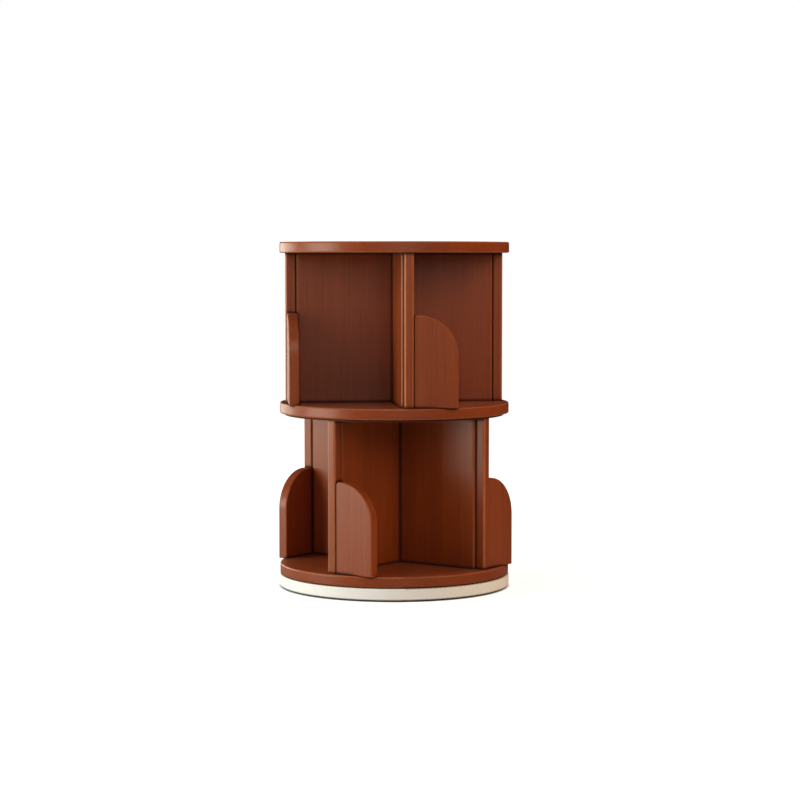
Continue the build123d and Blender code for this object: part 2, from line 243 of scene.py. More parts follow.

# each kind of board in its tier's own frame: middle, half width, half depth, edge rounding and the
# strength of its worn edges with their painted highlight
boards = {
    "partition": {
        "middle": (0.0060, -0.0995), "half": (0.0110, 0.0945), "round": 0.0050, "rubAndHighlight": 0.25},
    "post": {
        "middle": (0.0080, -0.20425), "half": (0.0090, 0.01025), "round": 0.0040, "rubAndHighlight": 0.90},
    "guard": {
        "middle": (0.0590, -0.2020), "half": (0.0420, 0.0100), "round": 0.0025, "rubAndHighlight": 0.32},
}
# round boards: tier, radius, middle height, half thickness, edge rounding and the strength of their
# worn edges with their painted highlight
roundBoards = {
    "lower_floor": {
        "tier": "lower", "radius": 0.225, "middle": 0.0365, "half": 0.0105,
        "round": 0.0030, "rubAndHighlight": 0.50},
    "lower_tie_plate": {
        "tier": "lower", "radius": 0.2145, "middle": 0.3395, "half": 0.0015,
        "round": 0.0006, "rubAndHighlight": 0.20},
    "upper_floor": {
        "tier": "upper", "radius": 0.225, "middle": 0.3525, "half": 0.0105,
        "round": 0.0030, "rubAndHighlight": 0.50},
    "top_panel": {
        "tier": "upper", "radius": 0.225, "middle": 0.6655, "half": 0.0105,
        "round": 0.0030, "rubAndHighlight": 0.50},
}
restAngles = {"lower": -41.4, "upper": 0.0}


# rises from 0 to 1 over the rounding at the far end of a half width
def edgeRise(tree, value, half, edgeRound):
    return spread(
        tree, sums(tree, "ABSOLUTE", value), half - edgeRound, half - 0.45 * edgeRound)


# grain runs along Z of the vector that comes in
def woodMaterial(name, spec, board, firstEdge, secondEdge, shift):
    material, tree, shader = newMaterial(name)
    place = put(tree, "ShaderNodeTexCoord").outputs["Object"]
    local = put(tree, "ShaderNodeMapping", {"vector_type": "TEXTURE"}, {
        "Vector": place, "Rotation": (0.0, 0.0, board["turn"]),
        "Location": board["centre"]}).outputs["Vector"]
    fibreTurn = (0.0, math.radians(90.0), 0.0) if board["flat"] else (0.0, 0.0, 0.0)
    along = put(tree, "ShaderNodeMapping", {"vector_type": "TEXTURE"}, {
        "Vector": local, "Rotation": fibreTurn, "Location": shift}).outputs["Vector"]
    grain = useGroup(tree, grainGroup, {"Vector": along})
    plain = mixColour(tree, grain["Tone"], spec["deep"], spec["light"])
    colour = mixColour(tree, spec["toneAmount"], spec["body"], plain)
    for layer, amount, tone in (
            ("Streaks", "streakAmount", "deep"), ("Fibres", "fibreAmount", "light"),
            ("Pores", "poreAmount", "pore")):
        colour = mixColour(tree, sums(tree, "MULTIPLY", grain[layer], spec[amount]), colour, spec[tone])
    parts = put(tree, "ShaderNodeSeparateXYZ", None, {0: local}).outputs
    # painted shade darkens the grooves and joints that ambient occlusion finds
    grooveShaded = useGroup(tree, grooveShadeGroup, {
        "Colour": colour, "Groove Shade Colour": spec["grooveShadeColour"], "Reach": spec["grooveShadeReach"]})
    # edges lightened: partly real wear, partly a painted highlight
    rubbedAndHighlit = useGroup(tree, edgeGroup, {
        "Colour": grooveShaded["Colour"], "Rub And Highlight Colour": spec["rubAndHighlight"],
        "Amount": sums(tree, "MULTIPLY", grooveShaded["Open"], board["rubAndHighlight"]),
        "First": firstEdge(tree, local, parts), "Second": secondEdge(tree, local, parts)})
    filmed = useGroup(tree, filmGroup, {
        "Colour": rubbedAndHighlit["Colour"], "Base Roughness": spec["roughness"]})
    # lacquer made thinner and duller where the painted-shade mask marks a groove
    closed = sums(tree, "SUBTRACT", 1.0, grooveShaded["Open"])
    dulled = sums(tree, "MULTIPLY_ADD", closed, spec["grooveDullness"], filmed["Roughness"])
    wireSurface(tree, shader, filmed["Colour"], dulled)
    film = sums(tree, "MULTIPLY", grooveShaded["Open"], spec["lacquer"])
    tree.links.new(film, shader.inputs["Coat Weight"])
    height = sums(tree, "SUBTRACT", sums(tree, "MULTIPLY", grain["Fibres"], 0.5), grain["Pores"])
    wireBump(tree, shader, height, spec["grainDepth"], 0.5)
    shader.inputs["Specular Tint"].default_value = spec["shineTint"]
    shader.inputs["Coat Roughness"].default_value = spec["lacquerRoughness"]
    return material


order = 0
for tier in tiers:
    for sideIndex, side in enumerate(sides):
        turn = math.radians(restAngles[tier] + 90.0 * sideIndex)
        for part, spec in boards.items():
            midX, midY = spec["middle"]
            centre = (midX * math.cos(turn) - midY * math.sin(turn),
                      midX * math.sin(turn) + midY * math.cos(turn), 0.0)
            halfX, halfY = spec["half"]
            rounding = spec["round"]

            def acrossEdge(tree, local, parts):
                return edgeRise(tree, parts["X"], halfX, rounding)

            def depthEdge(tree, local, parts):
                return edgeRise(tree, parts["Y"], halfY, rounding)

            def guardEdge(tree, local, parts):
                # the rounding of a guard runs all round both faces, so only the depth matters
                depth = sums(tree, "ABSOLUTE", parts["Y"])
                return spread(tree, depth, halfY - 0.0004, halfY - 0.00005, 1.0, 0.0)

            shift = (0.37 * order, 0.53 * order, 0.71 * order)
            nodeName = f"{tier}_{part}_{side}"
            first = guardEdge if part == "guard" else acrossEdge
            dress(nodes[nodeName], woodMaterial(
                nodeName + "_wood", stainedWood,
                {"turn": turn, "centre": centre, "flat": False, "rubAndHighlight": spec["rubAndHighlight"]},
                first, depthEdge, shift))
            order += 1
for nodeName, spec in roundBoards.items():
    outer, halfThick, rounding = spec["radius"], spec["half"], spec["round"]

    def rimEdge(tree, local, parts):
        return edgeRise(tree, axisReach(tree, local), outer, rounding)

    def thickEdge(tree, local, parts):
        return edgeRise(tree, parts["Z"], halfThick, rounding)

    shift = (0.41 * order, 0.29 * order, 0.83 * order)
    dress(nodes[nodeName], woodMaterial(
        nodeName + "_wood", stainedWood,
        {"turn": math.radians(restAngles[spec["tier"]]), "centre": (0.0, 0.0, spec["middle"]),
         "flat": True, "rubAndHighlight": spec["rubAndHighlight"]},
        rimEdge, thickEdge, shift))
    order += 1
print("wood boards dressed")


plinthPaint = {
    "colour": (0.97, 0.975, 0.975, 1.0),
    "shade": (0.92, 0.92, 0.905, 1.0),
    # colour of the painted shade laid into grooves and joints
    "grooveShadeColour": (0.30, 0.25, 0.20, 1.0),
    # colour of the worn edges, which also carries a painted highlight
    "rubAndHighlight": (0.95, 0.94, 0.92, 1.0),
    "radius": 0.226,
    "middle": 0.014,
    "half": 0.011,
    "round": 0.002,
    "roughness": 0.42,
}


def paintMaterial(name, spec):
    material, tree, shader = newMaterial(name)
    place = put(tree, "ShaderNodeTexCoord").outputs["Object"]
    patches = spread(tree, noise(tree, place, 14.0, 3.0, 0.55), 0.35, 0.65)
    colour = mixColour(tree, sums(tree, "MULTIPLY", patches, 0.25), spec["colour"], spec["shade"])
    height = put(tree, "ShaderNodeSeparateXYZ", None, {0: place}).outputs["Z"]
    level = sums(tree, "SUBTRACT", height, spec["middle"])
    # painted shade darkens the grooves and joints that ambient occlusion finds
    grooveShaded = useGroup(tree, grooveShadeGroup, {
        "Colour": colour, "Groove Shade Colour": spec["grooveShadeColour"], "Amount": 0.8})
    # edges lightened: partly real wear, partly a painted highlight
    rubbedAndHighlit = useGroup(tree, edgeGroup, {
        "Colour": grooveShaded["Colour"], "Rub And Highlight Colour": spec["rubAndHighlight"], "Amount": 0.4,
        "First": edgeRise(tree, axisReach(tree, place), spec["radius"], spec["round"]),
        "Second": edgeRise(tree, level, spec["half"], spec["round"])})
    filmed = useGroup(tree, filmGroup, {
        "Colour": rubbedAndHighlit["Colour"], "Base Roughness": spec["roughness"], "Roughness Spread": 0.08})
    wireSurface(tree, shader, filmed["Colour"], filmed["Roughness"])
    peel = noise(tree, place, 420.0, 2.0, 0.5)
    wireBump(tree, shader, peel, 0.00008, 0.35)
    return material


dress(nodes["base_plinth"], paintMaterial("plinth_paint", plinthPaint))


rubber = {
    "colour": (0.022, 0.021, 0.020, 1.0),
    "dust": (0.16, 0.15, 0.14, 1.0),
    "roughness": 0.72,
}
zincPlate = {
    "colour": (0.62, 0.60, 0.55, 1.0),
    "shade": (0.43, 0.41, 0.36, 1.0),
    "roughness": 0.30,
}
ballSteel = {
    "colour": (0.66, 0.66, 0.67, 1.0),
    "oil": (0.52, 0.48, 0.38, 1.0),
    "roughness": 0.08,
}
nylon = {
    "colour": (0.74, 0.71, 0.63, 1.0),
    "shade": (0.60, 0.56, 0.46, 1.0),
    "roughness": 0.48,
}
beech = {
    "deep": (0.40, 0.235, 0.115, 1.0),
    "light": (0.62, 0.42, 0.24, 1.0),
    "fleck": (0.28, 0.150, 0.070, 1.0),
    "roughness": 0.62,
}


def rubberMaterial(name, spec):
    material, tree, shader = newMaterial(name)
    place = put(tree, "ShaderNodeTexCoord").outputs["Object"]
    patches = spread(tree, noise(tree, place, 160.0, 3.0, 0.6), 0.45, 0.75)
    colour = mixColour(tree, sums(tree, "MULTIPLY", patches, 0.35), spec["colour"], spec["dust"])
    filmed = useGroup(tree, filmGroup, {
        "Colour": colour, "Film Colour": spec["dust"], "Amount": 0.12,
        "Base Roughness": spec["roughness"], "Roughness Spread": 0.10})
    wireSurface(tree, shader, filmed["Colour"], filmed["Roughness"])
    moulded = noise(tree, place, 2600.0, 2.0, 0.5)
    wireBump(tree, shader, moulded, 0.00006, 0.6)
    return material


# zinc plated steel: drawing marks, spots of white bloom
def zincMaterial(name, spec, marks):
    material, tree, shader = newMaterial(name)
    place = put(tree, "ShaderNodeTexCoord").outputs["Object"]
    lines = noise(tree, stretched(tree, place, marks), 900.0, 2.0, 0.6)
    bloom = spread(tree, noise(tree, place, 240.0, 3.0, 0.6), 0.50, 0.72)
    colour = mixColour(tree, sums(tree, "MULTIPLY", bloom, 0.6), spec["colour"], spec["shade"])
    filmed = useGroup(tree, filmGroup, {
        "Colour": colour, "Amount": 0.03, "Base Roughness": spec["roughness"],
        "Roughness Spread": 0.14})
    wireSurface(tree, shader, filmed["Colour"], filmed["Roughness"])
    shader.inputs["Metallic"].default_value = 1.0
    wireBump(tree, shader, lines, 0.00003, 0.5)
    return material


def ballMaterial(name, spec):
    material, tree, shader = newMaterial(name)
    place = put(tree, "ShaderNodeTexCoord").outputs["Object"]
    oily = spread(tree, noise(tree, place, 300.0, 2.0, 0.5), 0.45, 0.70)
    rough = sums(tree, "MULTIPLY_ADD", oily, 0.12, spec["roughness"])
    wireSurface(tree, shader, mixColour(tree, oily, spec["colour"], spec["oil"]), rough)
    shader.inputs["Metallic"].default_value = 1.0
    return material


def nylonMaterial(name, spec):
    material, tree, shader = newMaterial(name)
    place = put(tree, "ShaderNodeTexCoord").outputs["Object"]
    flow = spread(tree, noise(tree, place, 90.0, 3.0, 0.55), 0.40, 0.70)
    colour = mixColour(tree, sums(tree, "MULTIPLY", flow, 0.5), spec["colour"], spec["shade"])
    filmed = useGroup(tree, filmGroup, {
        "Colour": colour, "Base Roughness": spec["roughness"], "Roughness Spread": 0.10})
    wireSurface(tree, shader, filmed["Colour"], filmed["Roughness"])
    wireBump(tree, shader, noise(tree, place, 1500.0, 2.0, 0.5), 0.00004, 0.4)
    return material


def beechMaterial(name, spec):
    material, tree, shader = newMaterial(name)
    place = put(tree, "ShaderNodeTexCoord").outputs["Object"]
    grain = useGroup(tree, grainGroup, {"Vector": place, "Streak Scale": 420.0})
    colour = mixColour(tree, grain["Streaks"], spec["light"], spec["deep"])
    flecked = mixColour(tree, sums(tree, "MULTIPLY", grain["Pores"], 0.6), colour, spec["fleck"])
    filmed = useGroup(tree, filmGroup, {
        "Colour": flecked, "Base Roughness": spec["roughness"], "Roughness Spread": 0.08})
    wireSurface(tree, shader, filmed["Colour"], filmed["Roughness"])
    wireBump(tree, shader, grain["Fibres"], 0.00005, 0.5)
    return material


footRubber = rubberMaterial("foot_rubber", rubber)
screwZinc = zincMaterial("screw_zinc", zincPlate, (1.0, 1.0, 0.2))
raceZinc = zincMaterial("race_zinc", zincPlate, (1.0, 0.15, 1.0))
bearingSteel = ballMaterial("bearing_ball_steel", ballSteel)
cageNylon = nylonMaterial("cage_nylon", nylon)
dowelBeech = beechMaterial("dowel_beech", beech)
for tier in tiers:
    dress(nodes[tier + "_ball_cage"], cageNylon)
    dress(nodes[tier + "_balls"], bearingSteel)
print("hardware materials ready")


# modelling helpers

def deselectAll():
    if bpy.context.object is not None and bpy.context.object.mode != "OBJECT":
        bpy.ops.object.mode_set(mode="OBJECT")
    bpy.ops.object.select_all(action="DESELECT")


def settle(piece, smoothAngle=35.0):
    # doubles merged, normals out, the place kept in the mesh
    bpy.ops.object.mode_set(mode="EDIT")
    bpy.ops.mesh.select_all(action="SELECT")
    bpy.ops.mesh.remove_doubles(threshold=0.000002)
    bpy.ops.mesh.normals_make_consistent(inside=False)
    bpy.ops.object.mode_set(mode="OBJECT")
    bpy.ops.object.transform_apply(location=True, rotation=True, scale=True)
    bpy.ops.object.shade_smooth_by_angle(angle=math.radians(smoothAngle))
    return piece


# a turned solid: a disc at the first radius and height, extruded and scaled from step to step
def turnedSolid(name, steps, segments):
    deselectAll()
    radius, height = steps[0]
    bpy.ops.mesh.primitive_circle_add(
        vertices=segments, radius=radius, fill_type="NGON", location=(0.0, 0.0, height))
    piece = bpy.context.active_object
    piece.name = name
    bpy.ops.object.mode_set(mode="EDIT")
    bpy.ops.mesh.select_mode(type="FACE")
    bpy.ops.mesh.select_all(action="SELECT")
    for nextRadius, nextHeight in steps[1:]:
        lift = {"value": (0.0, 0.0, nextHeight - height)}
        bpy.ops.mesh.extrude_region_move(TRANSFORM_OT_translate=lift)
        factor = nextRadius / radius
        bpy.ops.transform.resize(value=(factor, factor, 1.0), center_override=(0.0, 0.0, nextHeight))
        radius, height = nextRadius, nextHeight
    return settle(piece)


# a turned ring: one edge loop extruded round its section until it meets its start
def turnedRing(name, steps, segments):
    deselectAll()
    radius, height = steps[0]
    bpy.ops.mesh.primitive_circle_add(
        vertices=segments, radius=radius, fill_type="NOTHING", location=(0.0, 0.0, height))
    piece = bpy.context.active_object
    piece.name = name
    bpy.ops.object.mode_set(mode="EDIT")
    bpy.ops.mesh.select_mode(type="EDGE")
    bpy.ops.mesh.select_all(action="SELECT")
    for nextRadius, nextHeight in steps[1:] + steps[:1]:
        lift = {"value": (0.0, 0.0, nextHeight - height)}
        bpy.ops.mesh.extrude_edges_move(TRANSFORM_OT_translate=lift)
        factor = nextRadius / radius
        bpy.ops.transform.resize(value=(factor, factor, 1.0), center_override=(0.0, 0.0, nextHeight))
        radius, height = nextRadius, nextHeight
    return settle(piece)


# cuts a straight prism with the given number of sides out of a piece
def cutPrism(piece, cutterSides, radius, low, high, across=0.0, bearing=0.0):
    deselectAll()
    place = (across * math.cos(bearing), across * math.sin(bearing), (low + high) / 2)
    bpy.ops.mesh.primitive_cylinder_add(
        vertices=cutterSides, radius=radius, depth=high - low, location=place)
    cutter = bpy.context.active_object
    deselectAll()
    piece.select_set(True)
    bpy.context.view_layer.objects.active = piece
    modifier = piece.modifiers.new("cut", "BOOLEAN")
    modifier.operation = "DIFFERENCE"
    modifier.solver = "EXACT"
    modifier.object = cutter
    bpy.ops.object.modifier_apply(modifier=modifier.name)
    bpy.data.objects.remove(cutter, do_unlink=True)
    return piece


# copies of one pattern at several places, each with its own mesh, joined to one finished piece
def setCopies(name, pattern, places):
    copies = []
    for place in places:
        single = pattern.copy()
        single.data = pattern.data.copy()
        single.matrix_world = place
        bpy.context.scene.collection.objects.link(single)
        copies.append(single)
    deselectAll()
    for single in copies:
        single.select_set(True)
    bpy.context.view_layer.objects.active = copies[0]
    bpy.ops.object.transform_apply(location=True, rotation=True, scale=True)
    bpy.ops.object.join()
    piece = bpy.context.active_object
    piece.name = name
    return piece


def finish(piece, material, body, nodeName):
    dress(piece, material)
    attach(piece, body)
    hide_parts(nodeName)


def discard(pattern):
    bpy.data.objects.remove(pattern, do_unlink=True)


# in a tier's own frame, turned to each quarter; pointing is the direction of the piece's own Z
def tierPlace(tier, step, spot, pointing="up"):
    quarter = Matrix.Rotation(math.radians(restAngles[tier] + 90.0 * step), 4, "Z")
    turns = {
        "up": Matrix.Identity(4),
        "down": Matrix.Rotation(math.pi, 4, "X"),
        "x": Matrix.Rotation(math.pi / 2, 4, "Y"),
        "y": Matrix.Rotation(-math.pi / 2, 4, "X"),
    }
    return quarter @ Matrix.Translation(Vector(spot)) @ turns[pointing]


def circlePlace(radius, angle, height, pointing):
    turn = Matrix.Rotation(math.radians(angle), 4, "Z")
    flip = Matrix.Rotation(math.pi, 4, "X") if pointing == "down" else Matrix.Identity(4)
    return turn @ Matrix.Translation(Vector((radius, 0.0, height))) @ flip


# rubber feet: moulded, dished underneath, glued into the plinth
foot = {"radius": 0.0140, "height": 0.0050, "dish": 0.0007, "circle": 0.195, "count": 6}
footPattern = turnedSolid("foot_pattern", [
    (0.0020, 0.0010), (0.0040, 0.0010), (0.0046, foot["dish"]), (0.0084, foot["dish"]), (0.0093, 0.0),
    (0.0122, 0.0), (0.0134, 0.0005), (0.0139, 0.0014), (foot["radius"], 0.0024),
    (foot["radius"], foot["height"] - 0.0004), (0.0136, foot["height"])], 48)
finish(setCopies("rubber_feet_moulded", footPattern, [
    circlePlace(foot["circle"], 60.0 * index, 0.0, "up") for index in range(foot["count"])]),
    footRubber, "base", "rubber_feet")
discard(footPattern)
print("feet ready")


# screws: head face or head seat at height 0, point along +Z
sunkScrews = {
    "panel": {
        "length": 0.050, "shank": 0.0025, "head": 0.0050, "headHeight": 0.0030,
        "plain": 0.018, "pitch": 0.0022},
    "tie": {
        "length": 0.034, "shank": 0.0020, "head": 0.0040, "headHeight": 0.0022,
        "plain": 0.005, "pitch": 0.0018},
}
panScrews = {
    "plinth": {
        "length": 0.016, "shank": 0.0020, "head": 0.0040, "headHeight": 0.0024,
        "plain": 0.0030, "pitch": 0.0015},
    "floor": {
        "length": 0.011, "shank": 0.0020, "head": 0.0040, "headHeight": 0.0024,
        "plain": 0.0030, "pitch": 0.0015},
    "plate": {
        "length": 0.0055, "shank": 0.0020, "head": 0.0040, "headHeight": 0.0024,
        "plain": 0.0020, "pitch": 0.0007},
}
hexSocket = {"radius": 0.00173, "depth": 0.0014}
thread = {"ridge": 0.24, "steps": 14}


# helical ridge of triangular section with closed ends
def threadRidge(spec, tip):
    start, end = spec["plain"], spec["length"] - tip
    turnCount = max(2, int((end - start) / spec["pitch"]) - 1)
    ridge = thread["ridge"] * spec["shank"]
    place = (spec["shank"] - ridge, 0.0, start + spec["pitch"] / 2)
    deselectAll()
    bpy.ops.mesh.primitive_circle_add(
        vertices=3, radius=ridge, fill_type="NOTHING", rotation=(math.pi / 2, 0.0, 0.0),
        location=place)
    helix = bpy.context.active_object
    bpy.ops.object.mode_set(mode="EDIT")
    bpy.ops.mesh.select_all(action="SELECT")
    bpy.ops.transform.rotate(value=math.pi / 2, orient_axis="Y", center_override=place)
    bpy.ops.object.mode_set(mode="OBJECT")
    bpy.ops.object.transform_apply(location=True, rotation=True, scale=True)
    winding = helix.modifiers.new("winding", "SCREW")
    winding.axis = "Z"
    winding.angle = 2.0 * math.pi
    winding.screw_offset = spec["pitch"]
    winding.iterations = turnCount
    winding.steps = thread["steps"]
    winding.render_steps = thread["steps"]
    winding.use_merge_vertices = True
    bpy.ops.object.modifier_apply(modifier=winding.name)
    bpy.ops.object.mode_set(mode="EDIT")
    bpy.ops.mesh.select_all(action="SELECT")
    bpy.ops.mesh.fill_holes(sides=3)
    bpy.ops.object.mode_set(mode="OBJECT")
    return settle(helix)


def joinPieces(first, second):
    deselectAll()
    first.select_set(True)
    second.select_set(True)
    bpy.context.view_layer.objects.active = first
    bpy.ops.object.join()
    return first


def sunkScrew(name, spec):
    core = 0.70 * spec["shank"]
    tip = 3.0 * spec["shank"] / 2.0
    screw = turnedSolid(name, [
        (spec["head"] - 0.0002, 0.0), (spec["head"], 0.0002), (spec["head"], 0.0006),
        (0.86 * spec["shank"], spec["headHeight"]), (0.86 * spec["shank"], spec["plain"]),
        (core, spec["plain"] + 0.0006), (core, spec["length"] - tip),
        (0.5 * core, spec["length"] - 0.4 * tip), (0.0001, spec["length"])], 30)
    cutPrism(screw, 6, hexSocket["radius"], -0.001, hexSocket["depth"])
    return joinPieces(screw, threadRidge(spec, tip))


def panScrew(name, spec):
    core = 0.72 * spec["shank"]
    tip = 0.0022
    crown = -spec["headHeight"]
    screw = turnedSolid(name, [
        (0.0026, crown), (0.0031, crown + 0.0002), (0.0037, crown + 0.0009),
        (spec["head"], crown + 0.0018), (spec["head"], -0.0001), (spec["head"] - 0.0001, 0.0),
        (0.9 * spec["shank"], 0.0), (0.9 * spec["shank"], spec["plain"]),
        (core, spec["plain"] + 0.0004), (core, spec["length"] - tip), (0.0001, spec["length"])], 30)
    cutPrism(screw, 6, hexSocket["radius"], crown - 0.001, crown + hexSocket["depth"])
    return joinPieces(screw, threadRidge(spec, tip))


panelScrew = sunkScrew("panel_screw_pattern", sunkScrews["panel"])
tieScrew = sunkScrew("tie_screw_pattern", sunkScrews["tie"])
plinthScrew = panScrew("plinth_screw_pattern", panScrews["plinth"])
floorScrew = panScrew("floor_screw_pattern", panScrews["floor"])
plateScrew = panScrew("plate_screw_pattern", panScrews["plate"])

# where screws and upright dowels stand in the quarter of a tier that points to -Y
spots = {
    "inner": (0.0060, -0.109775),
    "middle": (0.0060, -0.1443875),
    "outer": (0.0060, -0.179),
    "post": (0.0080, -0.20425),
    "guard": (0.0470, -0.2020),
}
levels = {
    "lower": {"under": 0.026, "top": 0.047},
    "upper": {"under": 0.342, "top": 0.363},
    "tiePlateTop": 0.341,
    "topDowelFoot": 0.637,
}


def spotPlaces(tier, names, height, pointing="up"):
    return [tierPlace(tier, step, spots[name] + (height,), pointing)
            for step in range(4) for name in names]


for tier in tiers:
    places = spotPlaces(tier, ("inner", "outer", "post", "guard"), levels[tier]["under"])
    finish(setCopies(tier + "_floor_screws_threaded", panelScrew, places), screwZinc,
           tier + "_tier", tier + "_floor_screws")
places = spotPlaces("lower", ("inner", "outer", "post"), levels["tiePlateTop"], "down")
finish(setCopies("lower_tie_screws_threaded", tieScrew, places), screwZinc,
       "lower_tier", "lower_tie_screws")

# circles of four race screws: pattern, body, radius, first angle, seat of the head, direction
screwCircles = {"base": 0.048225, "floor": 0.079775}
firstAngles = {"base": 45.0, "lower": 45.0 + restAngles["lower"], "upper": 45.0 + restAngles["upper"]}
raceScrewSets = (
    ("lower_bottom_race_screws", plinthScrew, "base", "base", "base", 0.028, "down"),
    ("lower_top_race_screws", floorScrew, "lower_tier", "floor", "lower", 0.031, "up"),
    ("upper_bottom_race_screws", plateScrew, "lower_tier", "base", "lower", 0.344, "down"),
    ("upper_top_race_screws", floorScrew, "upper_tier", "floor", "upper", 0.347, "up"),
)
for nodeName, pattern, body, circle, start, height, pointing in raceScrewSets:
    places = [circlePlace(screwCircles[circle], firstAngles[start] + 90.0 * step, height, pointing)
              for step in range(4)]
    finish(setCopies(nodeName + "_threaded", pattern, places), screwZinc, body, nodeName)
for pattern in (panelScrew, tieScrew, plinthScrew, floorScrew, plateScrew):
    discard(pattern)
print("screws ready")


# dowels: fluted, chamfered at both ends
dowel = {
    "radius": 0.0040, "length": 0.030, "flutes": 16, "fluteDepth": 0.00035, "chamfer": 0.0008,
    "sunk": 0.012}
# start, heights above the floor board and direction of the dowels that lie flat
lyingDowels = (
    (0.0110, -0.0250, (0.060, 0.150, 0.240), "y"),
    (0.0080, -0.2060, (0.090, 0.220), "y"),
    (0.0050, -0.2030, (0.050, 0.130), "x"),
)
dowelPattern = turnedSolid("dowel_pattern", [
    (dowel["radius"] - dowel["chamfer"], 0.0), (dowel["radius"], dowel["chamfer"]),
    (dowel["radius"], dowel["length"] - dowel["chamfer"]),
    (dowel["radius"] - dowel["chamfer"], dowel["length"])], 2 * dowel["flutes"])
deselectAll()
dowelPattern.select_set(True)
bpy.context.view_layer.objects.active = dowelPattern
for vertex in dowelPattern.data.vertices:
    angle = math.atan2(vertex.co.y, vertex.co.x)
    vertex.select = round(angle / (math.pi / dowel["flutes"])) % 2 == 1
bpy.ops.object.mode_set(mode="EDIT")
bpy.ops.mesh.select_mode(type="VERT")
fluteShare = 1.0 - dowel["fluteDepth"] / dowel["radius"]
bpy.ops.transform.resize(value=(fluteShare, fluteShare, 1.0), center_override=(0.0, 0.0, 0.0))
bpy.ops.object.mode_set(mode="OBJECT")
for tier in tiers:
    top = levels[tier]["top"]
    places = []
    for step in range(4):
        for x, y, rises, pointing in lyingDowels:
            places += [tierPlace(tier, step, (x, y, top + rise), pointing) for rise in rises]
    places += spotPlaces(tier, ("middle",), top - dowel["sunk"])
    if tier == "upper":
        places += spotPlaces(tier, ("inner", "outer", "post"), levels["topDowelFoot"])
    finish(setCopies(tier + "_dowels_fluted", dowelPattern, places), dowelBeech,
           tier + "_tier", tier + "_dowels")
discard(dowelPattern)
print("dowels ready")


# races: pressed steel rings with a round ball groove
race = {
    "track": 0.064, "thickness": 0.003, "ballLevel": 0.0045, "groove": 0.003275, "lip": 0.0034,
    "edge": 0.0004, "screwHole": 0.0021}
raceWidths = {"base": (0.036225, 0.073775), "floor": (0.054225, 0.091775)}


def racePiece(name, circle, start, seat, facing):
    inner, outer = raceWidths[circle]
    edge, top, track, lip = race["edge"], race["thickness"], race["track"], race["lip"]
    mouth = math.asin((race["ballLevel"] - top) / race["groove"])
    groove = []
    for index in range(13):
        angle = -mouth - (math.pi - 2.0 * mouth) * index / 12.0
        groove.append((track + race["groove"] * math.cos(angle),
                       race["ballLevel"] + race["groove"] * math.sin(angle)))
    section = [(inner + edge, 0.0), (outer - edge, 0.0), (outer, edge), (outer, top - edge),
               (outer - edge, top), (track + lip, top)] + groove + [
               (track - lip, top), (inner + edge, top), (inner, top - edge), (inner, edge)]
    ring = turnedRing(name, [(radius, seat + facing * height) for radius, height in section], 96)
    for step in range(4):
        cutPrism(ring, 16, race["screwHole"], seat - 0.004, seat + 0.004, screwCircles[circle],
                 math.radians(firstAngles[start] + 90.0 * step))
    deselectAll()
    ring.select_set(True)
    bpy.context.view_layer.objects.active = ring
    return settle(ring, 30.0)


# node, body, kind of race, what its screws turn with, seat and the side it faces
raceSets = (
    ("lower_bottom_race", "base", "base", "base", 0.025, 1.0),
    ("lower_top_race", "lower_tier", "floor", "lower", 0.034, -1.0),
    ("upper_bottom_race", "lower_tier", "base", "lower", 0.341, 1.0),
    ("upper_top_race", "upper_tier", "floor", "upper", 0.350, -1.0),
)
for nodeName, body, circle, start, seat, facing in raceSets:
    finish(racePiece(nodeName + "_pressed", circle, start, seat, facing),
           raceZinc, body, nodeName)
print("races ready")


# camera at eye height of the top board, a little left of the upper tier's front
view = {
    "distance": 4.25, "height": 0.645, "heading": -5.4, "aside": -0.152, "pitch": 3.76,
    "lens": 97.3}
heading = math.radians(view["heading"])
cameraData = bpy.data.cameras.new("studioCamera")
cameraData.lens = view["lens"]
cameraData.sensor_width = 36.0
camera = bpy.data.objects.new("studioCamera", cameraData)
bpy.context.scene.collection.objects.link(camera)
camera.location = (math.sin(heading) * view["distance"], -math.cos(heading) * view["distance"],
                   view["height"])
camera.rotation_euler = (math.radians(90.0 - view["pitch"]), 0.0,
                         math.radians(view["heading"] + view["aside"]))
bpy.context.scene.camera = camera


def softLight(name, place, aim, spec):
    data = bpy.data.lights.new(name, "AREA")
    data.shape = "RECTANGLE"
    data.size, data.size_y = spec["size"]
    data.energy = spec["power"]
    data.color = spec["colour"]
    lamp = bpy.data.objects.new(name, data)
    bpy.context.scene.collection.objects.link(lamp)
    lamp.location = place
    lamp.rotation_euler = (Vector(aim) - Vector(place)).to_track_quat("-Z", "Y").to_euler()
    lamp.visible_camera = False
    lamp.visible_glossy = spec["shine"]


